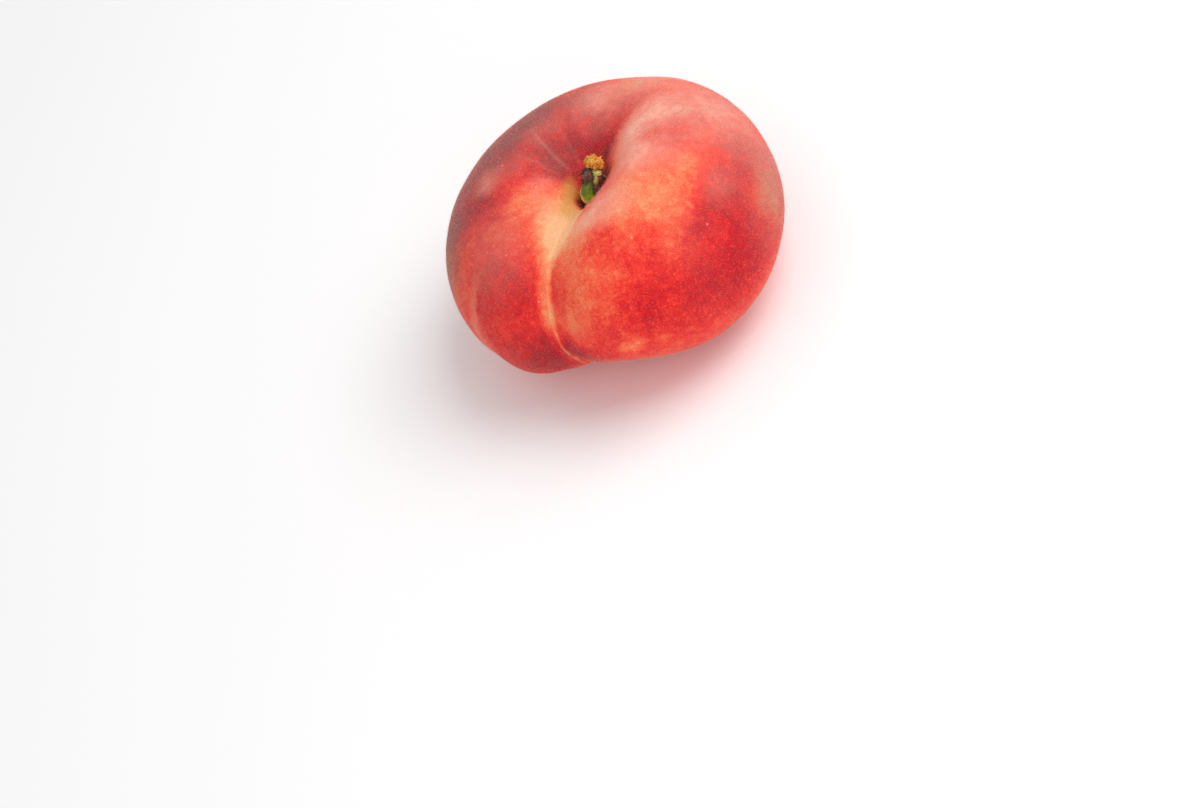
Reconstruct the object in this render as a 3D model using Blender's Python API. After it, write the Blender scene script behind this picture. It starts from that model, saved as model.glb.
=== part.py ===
"""A flat peach as picked: the fruit, its short stem, the dry bud scales and the torn heel of twig."""

import math
import random

import bmesh
import bpy
from mathutils import Matrix, Vector

# Driving dimensions, in metres. Z is up along the fruit's axis, and the suture faces -Y.
CHEEK_REACH = 0.0395
SUTURE_REACH = 0.0370
BODY_RISE = 0.0265
BODY_FALL = 0.0225
SHOULDER_BULGE = 0.0020
NEAR_LOBE_RISE = 0.0015

BASIN_DEPTH = 0.0085
BASIN_ACROSS = 0.0120
BASIN_ALONG = 0.0170
BASIN_BACKWARD = 0.0020
PIT_DEPTH = 0.0075
PIT_ACROSS = 0.0034
PIT_ALONG = 0.0046
PIT_STEEPNESS = 3.5

VALLEY_WIDTH = 0.0090
FRONT_VALLEY_DEPTH = 0.0045
BACK_VALLEY_DEPTH = 0.0040
SUTURE_DEPTH = 0.0009
SUTURE_WIDTH = 0.0016
SUTURE_STRAY = 0.0010
SUTURE_STRAY_AT = 0.0120

FOOT_BASIN_DEPTH = 0.0060
FOOT_BASIN_RADIUS = 0.0125

# Where each hollow fades in, as the cosine of the angle from the stem: none of it, then all of it.
TOP_FADE = (-0.05, 0.45)
FRONT_VALLEY_FADE = (-1.0, 0.6)
BACK_VALLEY_FADE = (0.3, 0.95)
FOOT_FADE = (0.0, 0.5)
VALLEY_LEFT_AT_FOOT = 0.25
FRONT_TO_BACK_BLEND = 0.0040

# Slow swellings and hollows that make the fruit lopsided, as it grew: azimuth from the suture and angle
# from the stem in degrees, spread in degrees, and height in metres.
SWELLINGS = {
    "back shoulder of the near lobe": (140.0, 72.0, 42.0, 0.0026),
    "back of the valley": (-175.0, 62.0, 26.0, 0.0014),
    "flank of the far lobe": (-52.0, 96.0, 36.0, 0.0014),
    "hollow under the near lobe": (20.0, 118.0, 27.0, -0.0043),
    "front of the far lobe": (-25.0, 120.0, 10.0, 0.0011),
    "near lobe beside the stem": (105.0, 10.0, 8.0, -0.0018),
    "near toe of the foot": (62.0, 153.0, 10.0, 0.0012),
    "far toe of the foot": (-60.0, 153.0, 10.0, 0.0008),
    "back toe of the foot": (180.0, 153.0, 10.0, 0.0009),
}

# The toes are pressed level where the fruit has stood on them.
TOE_FLATTENING = 0.00030

# The stem's socket starts at this reach from the axis, measured on the plump body, and its floor lies at
# this height over the fruit's middle.
SOCKET_REACH = 0.0032
SOCKET_FLOOR = 0.0050
CLEARANCE = 0.0003

RINGS = 52
SEGMENTS = 80
SOCKET_RINGS = 2
RING_CROWDING = 0.6
SUTURE_CROWDING = 0.6
SUTURE_CROWDING_SPAN = 0.5

# The stem's spine from the socket's floor to its torn end: place on the fruit, then its half widths
# across the suture and along it.
STEM_STATIONS = [
    ((0.0, 0.0, 0.0053), 0.0013, 0.0010),
    ((0.0, 0.0, 0.0085), 0.0013, 0.0010),
    ((-0.0001, 0.0, 0.0108), 0.0014, 0.0017),
    ((-0.0002, 0.0, 0.0130), 0.0017, 0.0023),
    ((0.0, 0.0002, 0.0148), 0.0020, 0.0025),
    ((0.0004, 0.0007, 0.0162), 0.0016, 0.0020),
    ((0.0007, 0.0015, 0.0172), 0.0010, 0.0012),
    ((0.0011, 0.0026, 0.0184), 0.0009, 0.0009),
    ((0.0015, 0.0037, 0.0198), 0.0010, 0.0010),
]
STUB_STATIONS = [
    ((0.0012, 0.0003, 0.0152), 0.0007, 0.0007),
    ((0.0024, 0.0017, 0.0176), 0.0006, 0.0006),
    ((0.0031, 0.0026, 0.0193), 0.0009, 0.0008),
]
STEM_SIDES = 24
STUB_SIDES = 12
RINGS_PER_STATION = 3

# The collar of the bud scales clasps the stem's neck below its torn end, open on the stub's side.
COLLAR_AT = 0.94
COLLAR_REACH = 0.0013
COLLAR_THICKNESS = 0.0007
COLLAR_HEIGHT = 0.0009
COLLAR_START = math.radians(35.0)
COLLAR_SWEEP = math.radians(252.0)
COLLAR_STEPS = 16

# Each scale: angle round the neck in degrees, length, width, and how far it flares in degrees.
BUD_SCALES = [
    (40.0, 0.0021, 0.0014, 18.0),
    (80.0, 0.0024, 0.0018, 28.0),
    (116.0, 0.0026, 0.0019, 32.0),
    (152.0, 0.0030, 0.0019, 38.0),
    (188.0, 0.0036, 0.0020, 42.0),
    (218.0, 0.0036, 0.0019, 34.0),
    (244.0, 0.0033, 0.0017, 24.0),
    (266.0, 0.0030, 0.0014, 20.0),
    (284.0, 0.0027, 0.0012, 17.0),
]
SCALE_THICKNESS = 0.00065
SCALE_STEPS = 6
SCALE_ARCH = 0.0004
SCALE_ROOT_PHASE = 0.25
SCALE_TIP_WIDTH = 0.12
SCALE_FLAT_SHARE = 0.6

# The heel's lump of wood: shares of its length and of its half width, from the stem's end to the top.
HEEL_LENGTH = 0.0026
HEEL_HALF_WIDTH = 0.0021
HEEL_FLATNESS = 0.8
HEEL_PROFILE = ((0.0, 0.55), (0.12, 0.78), (0.35, 0.95), (0.6, 1.0), (0.82, 0.86), (1.0, 0.5))
HEEL_SIDES = 12
HEEL_LUMPS = 30
HEEL_LUMP_RADIUS = 0.00056
HEEL_LUMP_SPREAD = 0.25
HEEL_LUMPS_FROM = 0.3
HEEL_SHOULDER = 0.85
HEEL_FLANK_LUMPS = 0.95
HEEL_CROWN_LUMPS = (0.1, 0.8)
HEEL_SEED = 7

SKIN_COLOUR = (0.74, 0.14, 0.10, 1.0)
STEM_COLOUR = (0.22, 0.36, 0.07, 1.0)
SCALE_COLOUR = (0.11, 0.055, 0.03, 1.0)
HEEL_COLOUR = (0.72, 0.38, 0.10, 1.0)
SKIN_ROUGHNESS = 0.62
STEM_ROUGHNESS = 0.35
SCALE_ROUGHNESS = 0.75
HEEL_ROUGHNESS = 0.8


def clear_scene():
    for obj in list(bpy.data.objects):
        bpy.data.objects.remove(obj, do_unlink=True)


def bump(distance, width):
    return math.exp(-((distance / width) ** 2))


def ease(value, low, high):
    share = min(1.0, max(0.0, (value - low) / (high - low)))
    return share * share * (3.0 - 2.0 * share)


def make_material(name, colour, roughness):
    material = bpy.data.materials.new(name)
    material.use_nodes = True
    shader = material.node_tree.nodes["Principled BSDF"]
    shader.inputs["Base Color"].default_value = colour
    shader.inputs["Roughness"].default_value = roughness
    shader.inputs["Metallic"].default_value = 0.0
    material.diffuse_color = colour
    return material


def make_object(name, bm, material):
    mesh = bpy.data.meshes.new(name)
    bm.normal_update()
    bm.to_mesh(mesh)
    bm.free()
    mesh.materials.append(material)
    mesh.shade_smooth()
    obj = bpy.data.objects.new(name, mesh)
    bpy.context.scene.collection.objects.link(obj)
    return obj


def sink_depth(x, y, polar):
    """How far the skin lies inside the plump body, from the basins, the valley and the suture."""
    up = math.cos(polar)
    front = ease(-y, -FRONT_TO_BACK_BLEND, FRONT_TO_BACK_BLEND)
    top = ease(up, *TOP_FADE)
    basin = math.hypot(x / BASIN_ACROSS, (y - BASIN_BACKWARD) / BASIN_ALONG)
    pit = math.hypot(x / PIT_ACROSS, y / PIT_ALONG)
    depth = top * BASIN_DEPTH * math.exp(-(basin**2))
    depth += top * PIT_DEPTH * math.exp(-(pit**PIT_STEEPNESS))
    front_run = VALLEY_LEFT_AT_FOOT + (1.0 - VALLEY_LEFT_AT_FOOT) * ease(up, *FRONT_VALLEY_FADE)
    back_run = ease(up, *BACK_VALLEY_FADE)
    stray = x + SUTURE_STRAY * top * bump(y + SUTURE_STRAY_AT, SUTURE_STRAY_AT)
    across = bump(stray, VALLEY_WIDTH)
    depth += across * FRONT_VALLEY_DEPTH * front * front_run
    depth += across * BACK_VALLEY_DEPTH * (1.0 - front) * back_run
    depth += bump(stray, SUTURE_WIDTH) * SUTURE_DEPTH * front
    depth += ease(-up, *FOOT_FADE) * FOOT_BASIN_DEPTH * bump(math.hypot(x, y), FOOT_BASIN_RADIUS)
    return depth


def direction(azimuth, polar):
    flat = math.sin(polar)
    return Vector((flat * math.sin(azimuth), -flat * math.cos(azimuth), math.cos(polar)))


def swelling(azimuth, polar):
    """The height of the slow lumps at this place on the skin."""
    here = direction(azimuth, polar)
    total = 0.0
    for around, down, spread, height in SWELLINGS.values():
        away = here.angle(direction(math.radians(around), math.radians(down)), 0.0)
        total += height * bump(away, math.radians(spread))
    return total


def skin_point(azimuth, polar):
    """A point of the skin. The azimuth runs from the suture towards +X, the polar angle from the stem."""
    across = math.sin(azimuth)
    flat = math.sin(polar)
    up = math.cos(polar)
    reach = math.hypot(CHEEK_REACH * across, SUTURE_REACH * math.cos(azimuth))
    rise = BODY_RISE + NEAR_LOBE_RISE * across if up > 0 else BODY_FALL
    radial = reach * flat
    height = rise * up
    depth = sink_depth(radial * across, -radial * math.cos(azimuth), polar)
    depth -= SHOULDER_BULGE * math.sin(2.0 * polar) ** 2
    depth -= swelling(azimuth, polar)
    radial -= depth * flat
    height -= depth * up
    return Vector((radial * across, -radial * math.cos(azimuth), height))


def crowded_azimuth(azimuth):
    """Draws the meridians together at the suture."""
    near = bump(azimuth, SUTURE_CROWDING_SPAN)
    return azimuth * (1.0 - SUTURE_CROWDING * near)


def ring_polar(ring):
    """The polar angle of a ring of the mesh, drawn together in the pit and on the foot."""
    first = SOCKET_REACH / CHEEK_REACH
    share = (ring - SOCKET_RINGS) / (RINGS - SOCKET_RINGS)
    share -= RING_CROWDING * math.sin(2.0 * math.pi * share) / (2.0 * math.pi)
    return first + (math.pi - first) * share


def make_fruit():
    bm = bmesh.new()
    bmesh.ops.create_uvsphere(bm, u_segments=SEGMENTS, v_segments=RINGS, radius=1.0)
    for vertex in bm.verts:
        polar = math.acos(max(-1.0, min(1.0, vertex.co.z)))
        ring = round(polar * RINGS / math.pi)
        azimuth = crowded_azimuth(math.atan2(vertex.co.x, -vertex.co.y))
        vertex.co = skin_point(azimuth, ring_polar(max(ring, SOCKET_RINGS)))
        if ring < SOCKET_RINGS:
            vertex.co = (vertex.co.x * ring, vertex.co.y * ring, SOCKET_FLOOR)
    level = min(vertex.co.z for vertex in bm.verts) + TOE_FLATTENING
    for vertex in bm.verts:
        vertex.co.z = max(vertex.co.z, level)
    return make_object("fruit", bm, make_material("skin", SKIN_COLOUR, SKIN_ROUGHNESS))


def along(stations, share):
    """The spine's place, direction and half widths at a share of its length, eased through the stations."""
    place = share * (len(stations) - 1)
    index = min(int(place), len(stations) - 2)
    t = place - index
    last = len(stations) - 1
    picked = [stations[max(0, min(last, index + step))] for step in (-1, 0, 1, 2)]
    points = [Vector(station[0]) for station in picked]
    weights = (
        (-t + 2.0 * t**2 - t**3) / 2.0,
        (2.0 - 5.0 * t**2 + 3.0 * t**3) / 2.0,
        (t + 4.0 * t**2 - 3.0 * t**3) / 2.0,
        (-(t**2) + t**3) / 2.0,
    )
    slopes = (
        (-1.0 + 4.0 * t - 3.0 * t**2) / 2.0,
        (-10.0 * t + 9.0 * t**2) / 2.0,
        (1.0 + 8.0 * t - 9.0 * t**2) / 2.0,
        (-2.0 * t + 3.0 * t**2) / 2.0,
    )
    centre = sum((point * weight for point, weight in zip(points, weights)), Vector())
    heading = sum((point * slope for point, slope in zip(points, slopes)), Vector()).normalized()
    across = sum(station[1] * weight for station, weight in zip(picked, weights))
    lengthwise = sum(station[2] * weight for station, weight in zip(picked, weights))
    return centre, heading, across, lengthwise


def plane_axes(heading):
    """Two directions square to the heading: one towards +X, one round from it towards +Y."""
    side = (Vector((1.0, 0.0, 0.0)) - heading * heading.x).normalized()
    return side, heading.cross(side)


def bridge(bm, rings):
    """Closes a row of rings into one solid, with a flat cap at each end."""
    for low, high in zip(rings, rings[1:]):
        for index, corner in enumerate(low):
            after = (index + 1) % len(low)
            bm.faces.new((corner, low[after], high[after], high[index]))
    bm.faces.new(list(reversed(rings[0])))
    bm.faces.new(rings[-1])


def sweep(bm, stations, sides):
    steps = RINGS_PER_STATION * (len(stations) - 1)
    rings = []
    for step in range(steps + 1):
        centre, heading, across, lengthwise = along(stations, step / steps)
        side, round_side = plane_axes(heading)
        ring = []
        for index in range(sides):
            angle = 2.0 * math.pi * index / sides
            offset = side * across * math.cos(angle) + round_side * lengthwise * math.sin(angle)
            ring.append(bm.verts.new(centre + offset))
        rings.append(ring)
    bridge(bm, rings)


def fuse(name, pieces):
    """Joins the pieces after the first into it with one Boolean union, and removes them."""
    base = pieces[0]
    others = bpy.data.collections.new(name + " parts")
    for piece in pieces[1:]:
        others.objects.link(piece)
    union = base.modifiers.new("union", "BOOLEAN")
    union.operation = "UNION"
    union.solver = "EXACT"
    union.operand_type = "COLLECTION"
    union.collection = others
    graph = bpy.context.evaluated_depsgraph_get()
    fused = bpy.data.meshes.new_from_object(base.evaluated_get(graph))
    base.modifiers.clear()
    base.data = fused
    base.name = name
    for piece in pieces[1:]:
        bpy.data.objects.remove(piece, do_unlink=True)
    bpy.data.collections.remove(others)
    return base


def make_stem():
    green = make_material("stem", STEM_COLOUR, STEM_ROUGHNESS)
    pieces = []
    for name, stations, sides in (("stem", STEM_STATIONS, STEM_SIDES), ("stub", STUB_STATIONS, STUB_SIDES)):
        bm = bmesh.new()
        sweep(bm, stations, sides)
        pieces.append(make_object(name, bm, green))
    return fuse("stem", pieces)


def make_collar(bm, centre, heading):
    """An open ring round the neck, swept from a flat bar's outline."""
    side, round_side = plane_axes(heading)
    outer = COLLAR_REACH + COLLAR_THICKNESS
    corners = ((COLLAR_REACH, -0.5), (outer, -0.5), (outer, 0.5), (COLLAR_REACH, 0.5))
    rings = []
    for step in range(COLLAR_STEPS + 1):
        angle = COLLAR_START + COLLAR_SWEEP * step / COLLAR_STEPS
        outward = side * math.cos(angle) + round_side * math.sin(angle)
        bases = [centre + outward * reach + heading * COLLAR_HEIGHT * lift for reach, lift in corners]
        rings.append([bm.verts.new(base) for base in bases])
    bridge(bm, rings)


def make_scale(bm, centre, heading, angle, length, width, flare):
    """A pointed dry blade, rooted in the collar and hanging towards the fruit."""
    side, round_side = plane_axes(heading)
    outward = side * math.cos(angle) + round_side * math.sin(angle)
    across = heading.cross(outward)
    run = outward * math.sin(flare) - heading * math.cos(flare)
    face = outward * math.cos(flare) + heading * math.sin(flare)
    root = centre + outward * (COLLAR_REACH + 0.5 * COLLAR_THICKNESS)
    thick = 0.5 * SCALE_THICKNESS
    rings = []
    for step in range(SCALE_STEPS + 1):
        share = step / SCALE_STEPS
        spine = root + run * length * share + face * SCALE_ARCH * math.sin(math.pi * share)
        phase = SCALE_ROOT_PHASE + (1.0 - SCALE_ROOT_PHASE) * share
        half = 0.5 * width * max(SCALE_TIP_WIDTH, math.sin(math.pi * phase))
        flat = SCALE_FLAT_SHARE * half
        outline = ((-half, 0.0), (-flat, -thick), (flat, -thick), (half, 0.0), (flat, thick), (-flat, thick))
        rings.append([bm.verts.new(spine - across * u + face * v) for u, v in outline])
    bridge(bm, rings)


def make_bud_scales():
    brown = make_material("bud_scales", SCALE_COLOUR, SCALE_ROUGHNESS)
    centre, heading, _, _ = along(STEM_STATIONS, COLLAR_AT)
    bm = bmesh.new()
    make_collar(bm, centre, heading)
    pieces = [make_object("collar", bm, brown)]
    for angle, length, width, flare in BUD_SCALES:
        bm = bmesh.new()
        make_scale(bm, centre, heading, math.radians(angle), length, width, math.radians(flare))
        pieces.append(make_object("scale", bm, brown))
    return fuse("bud_scales", pieces)


def heel_place(foot, heading, share, angle, spread):
    """A place in the heel: a share of its length up, an angle round it, and a share of its half width."""
    side, round_side = plane_axes(heading)
    outward = side * math.cos(angle) + round_side * HEEL_FLATNESS * math.sin(angle)
    return foot + heading * HEEL_LENGTH * share + outward * HEEL_HALF_WIDTH * spread


def make_heel_core(foot, heading, material):
    bm = bmesh.new()
    rings = []
    for share, spread in HEEL_PROFILE:
        angles = [2.0 * math.pi * index / HEEL_SIDES for index in range(HEEL_SIDES)]
        rings.append([bm.verts.new(heel_place(foot, heading, share, angle, spread)) for angle in angles])
    bridge(bm, rings)
    return make_object("heel", bm, material)


def make_heel_lump(foot, heading, draw, material):
    angle = draw.uniform(0.0, 2.0 * math.pi)
    share = draw.uniform(HEEL_LUMPS_FROM, 1.0)
    spread = HEEL_FLANK_LUMPS if share < HEEL_SHOULDER else draw.uniform(*HEEL_CROWN_LUMPS)
    radius = HEEL_LUMP_RADIUS * draw.uniform(1.0 - HEEL_LUMP_SPREAD, 1.0 + HEEL_LUMP_SPREAD)
    bm = bmesh.new()
    bmesh.ops.create_icosphere(bm, subdivisions=1, radius=radius)
    bmesh.ops.translate(bm, verts=bm.verts, vec=heel_place(foot, heading, share, angle, spread))
    return make_object("lump", bm, material)


def make_twig_heel():
    """The crumbled wood that tore away with the stem, sitting on its end."""
    tan = make_material("twig_heel", HEEL_COLOUR, HEEL_ROUGHNESS)
    end, heading, _, _ = along(STEM_STATIONS, 1.0)
    foot = end + heading * CLEARANCE
    draw = random.Random(HEEL_SEED)
    pieces = [make_heel_core(foot, heading, tan)]
    for _ in range(HEEL_LUMPS):
        pieces.append(make_heel_lump(foot, heading, draw, tan))
    return fuse("twig_heel", pieces)


def stand_on_ground(pieces, fruit):
    """Moves the whole peach so that its toes stand at zero height, centred on the origin."""
    corners = [vertex.co for vertex in fruit.data.vertices]
    middle_x = (min(c.x for c in corners) + max(c.x for c in corners)) / 2.0
    middle_y = (min(c.y for c in corners) + max(c.y for c in corners)) / 2.0
    shift = Matrix.Translation((-middle_x, -middle_y, -min(c.z for c in corners)))
    for piece in pieces:
        piece.data.transform(shift)


def main():
    clear_scene()
    fruit = make_fruit()
    pieces = [fruit, make_stem(), make_bud_scales(), make_twig_heel()]
    stand_on_ground(pieces, fruit)


main()
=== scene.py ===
"""A ripe flat peach on a pale table: velvet skin, a green stem in its pit, dry scales and torn wood."""

import math
import random

import bpy
import numpy as np
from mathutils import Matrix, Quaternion, Vector, noise


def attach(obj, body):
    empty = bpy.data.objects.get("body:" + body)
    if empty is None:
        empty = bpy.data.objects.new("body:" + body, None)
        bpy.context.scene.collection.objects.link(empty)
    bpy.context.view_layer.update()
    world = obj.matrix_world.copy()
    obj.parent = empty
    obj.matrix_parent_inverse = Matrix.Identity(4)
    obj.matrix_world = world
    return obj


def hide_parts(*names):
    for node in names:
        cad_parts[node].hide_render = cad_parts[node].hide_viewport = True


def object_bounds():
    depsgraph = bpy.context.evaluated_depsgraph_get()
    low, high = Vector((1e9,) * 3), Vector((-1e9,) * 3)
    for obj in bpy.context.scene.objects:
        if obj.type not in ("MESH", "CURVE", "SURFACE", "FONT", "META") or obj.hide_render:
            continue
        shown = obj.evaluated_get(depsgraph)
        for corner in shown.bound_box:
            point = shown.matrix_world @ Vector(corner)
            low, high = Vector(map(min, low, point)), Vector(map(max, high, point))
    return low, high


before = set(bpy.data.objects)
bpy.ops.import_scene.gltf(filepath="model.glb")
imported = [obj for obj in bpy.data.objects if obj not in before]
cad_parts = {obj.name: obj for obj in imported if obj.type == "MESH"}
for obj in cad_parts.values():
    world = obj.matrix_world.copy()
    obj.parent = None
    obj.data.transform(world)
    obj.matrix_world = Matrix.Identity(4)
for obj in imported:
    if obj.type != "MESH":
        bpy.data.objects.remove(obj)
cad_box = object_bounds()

MM = 0.001

# Where the fruit grew from, in metres: the stem's axis stands here, and every ring is round it.
HEART = Vector((-0.0000645, -0.0017842, 0.0209866))

# The photograph's frame and where its camera stands.
PHOTO_WIDTH = 1179
PHOTO_HEIGHT = 808
LENS = 100.0
SENSOR = 36.0
VIEW_AZIMUTH = math.radians(47.5)
VIEW_ELEVATION = math.radians(47.0)
VIEW_ROLL = math.radians(-34.0)
FRUIT_ACROSS = 0.080
FRUIT_ACROSS_PIXELS = 350.0
FRUIT_PIXEL = (613.0, 222.0)

# The white sky, and the lamps: name, place in metres from the fruit, size in metres, power in watts.
SKY_STRENGTH = 0.62
LAMPS = [
    ("window", (0.16, 0.50, 0.50), 0.50, 3.3),
    ("fill", (0.02, -0.52, 0.50), 0.60, 1.60),
]
TABLE_SIZE = 6.0


def add_object(name, data):
    added = bpy.data.objects.new(name, data)
    bpy.context.scene.collection.objects.link(added)
    return added


# ---- the studio

def camera_frame():
    """The camera's turn, and its right, up and backward directions."""
    back = Vector((
        math.sin(VIEW_AZIMUTH) * math.cos(VIEW_ELEVATION),
        -math.cos(VIEW_AZIMUTH) * math.cos(VIEW_ELEVATION),
        math.sin(VIEW_ELEVATION),
    ))
    turn = (-back).to_track_quat("-Z", "Y") @ Quaternion((0.0, 0.0, 1.0), VIEW_ROLL)
    return turn, turn @ Vector((1.0, 0.0, 0.0)), turn @ Vector((0.0, 1.0, 0.0)), back


def set_camera(centre):
    turn, right, up, back = camera_frame()
    pixels = LENS / SENSOR * PHOTO_WIDTH
    distance = pixels * FRUIT_ACROSS / FRUIT_ACROSS_PIXELS
    sideways = (FRUIT_PIXEL[0] - PHOTO_WIDTH / 2.0) / pixels * distance
    upwards = -(FRUIT_PIXEL[1] - PHOTO_HEIGHT / 2.0) / pixels * distance
    camera = add_object("camera", bpy.data.cameras.new("camera"))
    camera.data.lens = LENS
    camera.data.sensor_width = SENSOR
    camera.location = centre + back * distance - right * sideways - up * upwards
    camera.rotation_mode = "QUATERNION"
    camera.rotation_quaternion = turn
    bpy.context.scene.camera = camera


def soft_light(centre, name, place, size, power):
    """A square lamp, placed to the right of, above and in front of the fruit as the camera sees it."""
    _, right, up, back = camera_frame()
    lamp = add_object(name, bpy.data.lights.new(name, "AREA"))
    lamp.data.size = size
    lamp.data.energy = power
    spot = centre + right * place[0] + up * place[1] + back * place[2]
    lamp.location = spot
    lamp.rotation_mode = "QUATERNION"
    lamp.rotation_quaternion = (centre - spot).to_track_quat("-Z", "Y")


def set_studio(centre):
    scene = bpy.context.scene
    scene.view_settings.view_transform = "Standard"
    world = bpy.data.worlds.new("white studio")
    scene.world = world
    world.use_nodes = True
    sky = world.node_tree.nodes["Background"]
    sky.inputs["Color"].default_value = (1.0, 1.0, 1.0, 1.0)
    sky.inputs["Strength"].default_value = SKY_STRENGTH
    for lamp in LAMPS:
        soft_light(centre, *lamp)


def set_table():
    bpy.ops.object.select_all(action="DESELECT")
    bpy.ops.mesh.primitive_plane_add(size=TABLE_SIZE, location=(0.0, 0.0, 0.0))
    table = bpy.context.active_object
    table.name = "table"
    paint = Paint("pale table")
    cloud = paint.noise(paint.place(), 0.25, detail=3.0)
    paint.colour(paint.mix(cloud, tint(254, 254, 254), tint(251, 251, 251)))
    paint.rough(0.9)
    table.data.materials.append(paint.material)


# ---- words for materials

def linear(share):
    return share / 12.92 if share <= 0.04045 else ((share + 0.055) / 1.055) ** 2.4


def tint(red, green, blue):
    """A colour given as on a screen, 0 to 255."""
    return tuple(linear(value / 255.0) for value in (red, green, blue)) + (1.0,)


class Paint:
    """Short words for the nodes of one material."""

    def __init__(self, name):
        self.material = bpy.data.materials.new(name)
        self.material.use_nodes = True
        self.tree = self.material.node_tree
        self.shader = self.tree.nodes["Principled BSDF"]

    def node(self, kind, *values, **settings):
        """Adds a node with its settings, and feeds its first sockets in order."""
        made = self.tree.nodes.new(kind)
        for key, value in settings.items():
            setattr(made, key, value)
        for socket, value in zip(made.inputs, values):
            self.feed(socket, value)
        return made

    def feed(self, socket, value):
        if isinstance(value, bpy.types.NodeSocket):
            self.tree.links.new(value, socket)
        else:
            socket.default_value = value

    def place(self):
        return self.node("ShaderNodeTexCoord").outputs["Object"]

    def place_mm(self):
        return self.vector("SCALE", self.place(), 1.0 / MM)

    def math(self, operation, *values, clamp=False):
        return self.node("ShaderNodeMath", *values, operation=operation, use_clamp=clamp).outputs[0]

    def times(self, *values, clamp=False):
        """The product of all the values."""
        product = values[0]
        for value in values[1:-1]:
            product = self.math("MULTIPLY", product, value)
        return self.math("MULTIPLY", product, values[-1], clamp=clamp)

    def plus(self, first, second):
        return self.math("ADD", first, second)

    def minus(self, first, second, clamp=False):
        return self.math("SUBTRACT", first, second, clamp=clamp)

    def size_of(self, value):
        return self.math("ABSOLUTE", value)

    def vector(self, operation, first, second=None):
        made = self.node("ShaderNodeVectorMath", first, operation=operation)
        if second is not None:
            self.feed(made.inputs["Scale" if operation == "SCALE" else 1], second)
        return made.outputs["Value" if operation in ("DISTANCE", "DOT_PRODUCT") else "Vector"]

    def split(self, vector):
        return self.node("ShaderNodeSeparateXYZ", vector).outputs

    def join(self, x, y, z):
        return self.node("ShaderNodeCombineXYZ", x, y, z).outputs[0]

    def noise(self, where, size, detail=2.0, rough=0.5, bend=0.0, out=0):
        """Soft random spots. Its output "Color" holds three of them in one."""
        made = self.node("ShaderNodeTexNoise", where)
        made.inputs["Scale"].default_value = 1.0 / size
        made.inputs["Detail"].default_value = detail
        made.inputs["Roughness"].default_value = rough
        made.inputs["Distortion"].default_value = bend
        return made.outputs[out]

    def cells(self, where, size):
        """How far each place is from the middle of its cell."""
        made = self.node("ShaderNodeTexVoronoi", where)
        made.inputs["Scale"].default_value = 1.0 / size
        return made.outputs["Distance"]

    def rise(self, value, low, high, start=0.0, end=1.0):
        """Runs smoothly from start to end as the value goes from low to high."""
        made = self.node("ShaderNodeMapRange", value, low, high, start, end, interpolation_type="SMOOTHSTEP")
        return made.outputs[0]

    def mix(self, share, first, second, blend="MIX"):
        made = self.node("ShaderNodeMix", share, data_type="RGBA", blend_type=blend)
        self.feed(made.inputs[6], first)
        self.feed(made.inputs[7], second)
        return made.outputs[2]

    def ramp(self, value, stops):
        made = self.node("ShaderNodeValToRGB", value)
        band = made.color_ramp
        while len(band.elements) < len(stops):
            band.elements.new(0.5)
        for element, (share, colour) in zip(band.elements, stops):
            element.position = share
            element.color = colour
        return made.outputs["Color"]

    def colour(self, value):
        self.feed(self.shader.inputs["Base Color"], value)

    def rough(self, value):
        self.feed(self.shader.inputs["Roughness"], value)

    def relief(self, height, depth):
        made = self.node("ShaderNodeBump")
        made.inputs["Distance"].default_value = depth
        self.feed(made.inputs["Height"], height)
        self.feed(self.shader.inputs["Normal"], made.outputs[0])

    def set(self, **sockets):
        for name, value in sockets.items():
            self.shader.inputs[name.replace("_", " ")].default_value = value


# ---- the skin's colours

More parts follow.
